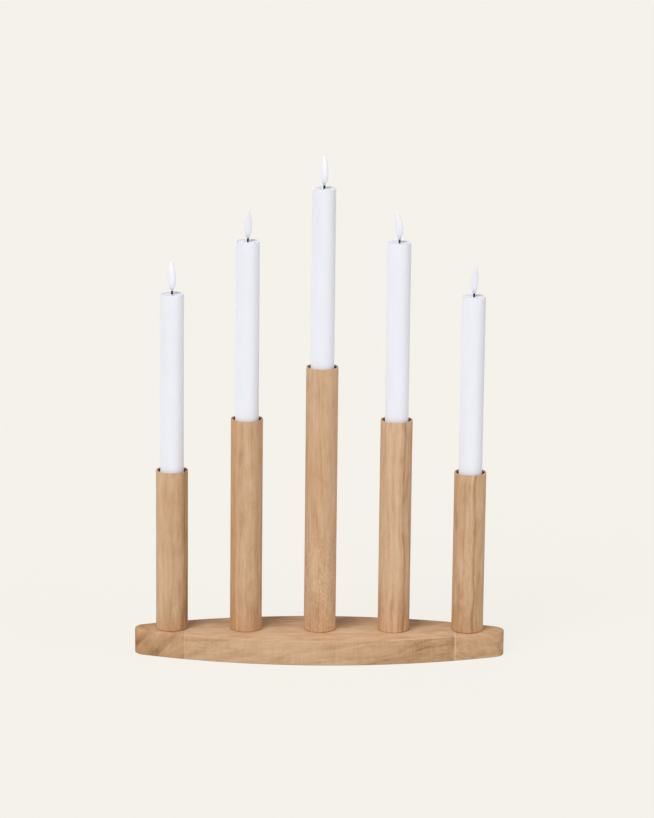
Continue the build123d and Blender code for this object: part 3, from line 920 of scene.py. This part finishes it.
def wick_tree():
    """Winds strands round a wick's core."""
    tree, start, end, keys = new_tree("wick strands", {
        "Strands": "NodeSocketInt", "Winding Radius": "NodeSocketFloat", "Strand Radius": "NodeSocketFloat",
        "Turns": "NodeSocketFloat", "Height": "NodeSocketFloat", "Foot": "NodeSocketVector",
        "Yarn": "NodeSocketMaterial"})
    spiral = tree.nodes.new("GeometryNodeCurveSpiral")
    spiral.inputs["Resolution"].default_value = SPIRAL_STEPS
    round_yarn = tree.nodes.new("GeometryNodeCurvePrimitiveCircle")
    round_yarn.inputs["Resolution"].default_value = STRAND_STEPS
    strand = tree.nodes.new("GeometryNodeCurveToMesh")
    strand.inputs["Fill Caps"].default_value = True
    points = tree.nodes.new("GeometryNodeMeshLine")
    points.inputs["Offset"].default_value = (0, 0, 0)
    number = tree.nodes.new("GeometryNodeInputIndex")
    share = tree.nodes.new("ShaderNodeMath")
    share.operation = "DIVIDE"
    angle = tree.nodes.new("ShaderNodeMath")
    angle.operation = "MULTIPLY"
    angle.inputs[1].default_value = 2 * math.pi
    turned = tree.nodes.new("ShaderNodeCombineXYZ")
    copies = tree.nodes.new("GeometryNodeInstanceOnPoints")
    real = tree.nodes.new("GeometryNodeRealizeInstances")
    both = tree.nodes.new("GeometryNodeJoinGeometry")
    yarn = tree.nodes.new("GeometryNodeSetMaterial")
    join(tree, [(start.outputs["Winding Radius"], spiral.inputs["Start Radius"]),
                (start.outputs["Winding Radius"], spiral.inputs["End Radius"]),
                (start.outputs["Turns"], spiral.inputs["Rotations"]),
                (start.outputs["Height"], spiral.inputs["Height"]),
                (start.outputs["Strand Radius"], round_yarn.inputs["Radius"]),
                (spiral.outputs[0], strand.inputs["Curve"]),
                (round_yarn.outputs[0], strand.inputs["Profile Curve"]),
                (start.outputs["Strands"], points.inputs["Count"]),
                (start.outputs["Foot"], points.inputs["Start Location"]),
                (number.outputs[0], share.inputs[0]),
                (start.outputs["Strands"], share.inputs[1]),
                (share.outputs[0], angle.inputs[0]),
                (angle.outputs[0], turned.inputs["Z"]),
                (points.outputs[0], copies.inputs["Points"]),
                (strand.outputs[0], copies.inputs["Instance"]),
                (turned.outputs[0], copies.inputs["Rotation"]),
                (copies.outputs[0], real.inputs[0]),
                (real.outputs[0], both.inputs[0]),
                (start.outputs["Geometry"], both.inputs[0]),
                (both.outputs[0], yarn.inputs["Geometry"]),
                (start.outputs["Yarn"], yarn.inputs["Material"]),
                (yarn.outputs[0], end.inputs["Geometry"])])
    return tree, keys


def wick(index, tree, keys, yarn):
    """Hollow stem with a flange under the candle top, wound with strands up to a collar."""
    foot = CANDLE_LENGTH - CANDLE_TOP_WALL
    top = CANDLE_LENGTH + WICK_HEIGHT
    flange = foot - WICK_FLANGE_THICKNESS
    shoulder = foot + WICK_SHOULDER
    collar_foot = top - WICK_COLLAR_HEIGHT
    stem = [(WICK_BORE_RADIUS, flange), (WICK_FLANGE_RADIUS, flange), (WICK_FLANGE_RADIUS, foot),
            (WICK_RADIUS, foot), (WICK_RADIUS, shoulder), (WICK_CORE_RADIUS, shoulder + WICK_SHOULDER_EASE),
            (WICK_CORE_RADIUS, collar_foot - WICK_COLLAR_HEIGHT)]
    collar = [(WICK_COLLAR_RADIUS, collar_foot), (WICK_COLLAR_RADIUS, top), (WICK_BORE_RADIUS, top)]
    bm = bmesh.new()
    collar_layer = bm.verts.layers.float.new("collar")
    rings = turn_profile(bm, stem + collar, post_x(index), candle_z(index), WICK_STEPS)
    for ring in rings[len(stem):]:
        for vert in ring:
            vert[collar_layer] = 1.0
    piece = finish_mesh(f"{PLACES[index]}_wick_yarn", bm, [yarn])
    start = Vector((post_x(index), 0, candle_z(index) + shoulder)) * MM
    settle(piece, tree, keys, {
        "Strands": WICK_STRANDS, "Winding Radius": WINDING_RADIUS * MM, "Strand Radius": STRAND_RADIUS * MM,
        "Turns": WICK_TURNS, "Height": (top - shoulder - STRAND_ROOM) * MM, "Foot": start, "Yarn": yarn})
    return ride_as(piece, f"{PLACES[index]}_wick")


def dress_nodes():
    """Give the solids that stay their finishes."""
    finishes = {
        "battery_cap": mottled("cap_moulding", tint(228, 229, 234), tint(240, 241, 245), 1.5, 0.38, 0.52),
        "battery_sleeve": mottled("sleeve_moulding", tint(222, 222, 226), tint(236, 236, 240), 0.8,
                                  0.42, 0.6),
        "switch_slider": mottled("slider_moulding", tint(28, 28, 30), tint(44, 44, 47), 3.0, 0.35, 0.55),
        "led_board": mottled("board_green", tint(30, 92, 58), tint(48, 118, 76), 1.2, 0.3, 0.5),
        "battery_cells": mottled("cell_jacket", tint(92, 96, 102), tint(128, 132, 138), 0.6,
                                 0.25, 0.42, stretch=(1, 1, 0.1), Metallic=0.7),
        "battery_contact": mottled("contact_spring", tint(176, 172, 160), tint(208, 205, 196), 2.0,
                                   0.22, 0.38, stretch=(0.1, 1, 1), Metallic=1.0),
    }
    for place in PLACES:
        for piece, material in finishes.items():
            node = frame["nodes"][f"{place}_{piece}"]
            node.data.materials.clear()
            node.data.materials.append(material)
    pale_wood = wood("dowel_wood", (0, 0, BASE_THICKNESS / 2), (0, -90, 0), seed=9, lift=0.1)
    dowels = frame["nodes"]["base_dowels"]
    dowels.data.materials.clear()
    dowels.data.materials.append(pale_wood)


def make_object():
    """Every piece of the holder and its candles, each in its node's place."""
    for node in BASE_WOOD:
        base_block(node)
    steel = mottled("screw_steel", tint(150, 148, 140), tint(190, 188, 180), 2.5, 0.28, 0.45, Metallic=1.0)
    # The cup's dark brown is painted shade for the gap beside each candle
    cup_gap_shade_metal = mottled("cup_metal_painted_gap_shade", tint(102, 83, 68), tint(124, 102, 84), 1.8, 0.45, 0.65)
    yarn, coat, top_shade, plastic = wick_yarn(), wax(), top_shade_wax(), flame_plastic()
    tree, keys = wick_tree()
    screws(steel)
    for index in range(len(PLACES)):
        post(index)
        cup(index, cup_gap_shade_metal)
        candle(index, coat, top_shade)
        wick(index, tree, keys, yarn)
        flame(index, plastic)
    dress_nodes()


# Camera, light and floor
BACKDROP = tint(245, 242, 235)
# Name, strength, width, degrees left of the front and degrees up of each lamp
LAMPS = [("key", 2.02, 30, 35, 45), ("side", 0.9, 50, -62, 20), ("back", 0.9, 50, 180, 10)]
# The fill's middle strength, how much it swings about that, and where it is strongest
FILL_STRENGTH = 0.26
FILL_SLOPE = 0.20
FILL_SIDE = 28
FILL_HEIGHT = 42
FLOOR_GLOW = 1.002
FLOOR_BOUNCE = 0.609
FLOOR_GLOW_SHARE = 0.9


def make_camera():
    """Long lens from a little above and hardly off the middle, as the picture was taken."""
    picture_height = 818
    distance, scale = 3000.0, 1.0703
    tilt, yaw, roll = (math.radians(angle) for angle in (12.7968, 0.9083, 0.6365))
    aim = Vector((4.7032, 0.0, 237.4667))
    forward = Vector((math.sin(yaw) * math.cos(tilt), math.cos(yaw) * math.cos(tilt), -math.sin(tilt)))
    right = Vector((math.cos(yaw), -math.sin(yaw), 0.0))
    up = right.cross(forward)
    across = math.cos(roll) * right + math.sin(roll) * up
    upward = math.cos(roll) * up - math.sin(roll) * right
    data = bpy.data.cameras.new("camera")
    data.sensor_fit = "VERTICAL"
    data.sensor_height = 24.0
    data.lens = scale * distance * data.sensor_height / picture_height
    data.clip_end = 100.0
    camera = bpy.data.objects.new("camera", data)
    bpy.context.scene.collection.objects.link(camera)
    turn = Matrix((across, upward, -forward)).transposed().to_4x4()
    camera.matrix_world = Matrix.Translation((aim - distance * forward) * MM) @ turn
    bpy.context.scene.camera = camera


def seen_ray(tree):
    """Value that is 1 for rays from the camera, a reflection or a clear piece."""
    path = tree.nodes.new("ShaderNodeLightPath")
    glossy = tree.nodes.new("ShaderNodeMath")
    glossy.operation = "MAXIMUM"
    through = tree.nodes.new("ShaderNodeMath")
    through.operation = "MAXIMUM"
    join(tree, [(path.outputs["Is Camera Ray"], glossy.inputs[0]),
                (path.outputs["Is Glossy Ray"], glossy.inputs[1]),
                (glossy.outputs[0], through.inputs[0]),
                (path.outputs["Is Transmission Ray"], through.inputs[1])])
    return through.outputs[0]


def towards(side, height):
    """Direction to a light that stands so many degrees left of the front and above the floor."""
    side, height = math.radians(side), math.radians(height)
    level = math.cos(height)
    return Vector((-level * math.sin(side), -level * math.cos(side), math.sin(height)))


def make_light():
    """Soft fill, strongest from the upper front left, a key there, and weaker lamps right and behind."""
    for name, strength, width, side, height in LAMPS:
        light = bpy.data.lights.new(name, "SUN")
        light.energy = strength
        light.angle = math.radians(width)
        lamp = bpy.data.objects.new(name, light)
        bpy.context.scene.collection.objects.link(lamp)
        lamp.rotation_euler = towards(side, height).to_track_quat("Z", "Y").to_euler()

    world = bpy.data.worlds.new("studio")
    world.use_nodes = True
    tree = world.node_tree
    tree.nodes.clear()
    output = tree.nodes.new("ShaderNodeOutputWorld")
    seen = tree.nodes.new("ShaderNodeBackground")
    seen.inputs["Color"].default_value = BACKDROP
    fill = tree.nodes.new("ShaderNodeBackground")
    fill.inputs["Color"].default_value = (1.0, 1.0, 1.0, 1.0)
    direction = tree.nodes.new("ShaderNodeTexCoord")
    facing = tree.nodes.new("ShaderNodeVectorMath")
    facing.operation = "DOT_PRODUCT"
    facing.inputs[1].default_value = towards(FILL_SIDE, FILL_HEIGHT)
    level = tree.nodes.new("ShaderNodeMath")
    level.operation = "MULTIPLY_ADD"
    level.inputs[1].default_value = FILL_SLOPE
    level.inputs[2].default_value = FILL_STRENGTH
    choose = tree.nodes.new("ShaderNodeMixShader")
    join(tree, [(direction.outputs["Generated"], facing.inputs[0]),
                (facing.outputs["Value"], level.inputs[0]),
                (level.outputs[0], fill.inputs["Strength"]),
                (seen_ray(tree), choose.inputs[0]),
                (fill.outputs[0], choose.inputs[1]),
                (seen.outputs[0], choose.inputs[2]),
                (choose.outputs[0], output.inputs["Surface"])])
    bpy.context.scene.world = world


def make_floor():
    """Pale floor that takes a faint shadow, and throws less light back at the object than it shows."""
    reach = 40.0
    drop = -0.0002
    mesh = bpy.data.meshes.new("floor")
    corners = [(-reach, -reach, drop), (reach, -reach, drop), (reach, reach, drop), (-reach, reach, drop)]
    mesh.from_pydata(corners, [], [(0, 1, 2, 3)])
    floor = bpy.data.objects.new("floor", mesh)
    bpy.context.scene.collection.objects.link(floor)
    material = bpy.data.materials.new("floor_paper")
    material.use_nodes = True
    tree = material.node_tree
    tree.nodes.clear()
    output = tree.nodes.new("ShaderNodeOutputMaterial")
    paper = tree.nodes.new("ShaderNodeBsdfDiffuse")
    paper.inputs["Color"].default_value = BACKDROP
    glow = tree.nodes.new("ShaderNodeEmission")
    glow.inputs["Color"].default_value = BACKDROP
    level = tree.nodes.new("ShaderNodeMapRange")
    level.inputs["To Min"].default_value = FLOOR_BOUNCE
    level.inputs["To Max"].default_value = FLOOR_GLOW
    blend = tree.nodes.new("ShaderNodeMixShader")
    blend.inputs[0].default_value = FLOOR_GLOW_SHARE
    join(tree, [(seen_ray(tree), level.inputs["Value"]), (level.outputs[0], glow.inputs["Strength"]),
                (paper.outputs[0], blend.inputs[1]), (glow.outputs[0], blend.inputs[2]),
                (blend.outputs[0], output.inputs["Surface"])])
    mesh.materials.append(material)


make_object()
make_camera()
make_light()
make_floor()
bpy.context.scene.view_settings.view_transform = "Standard"
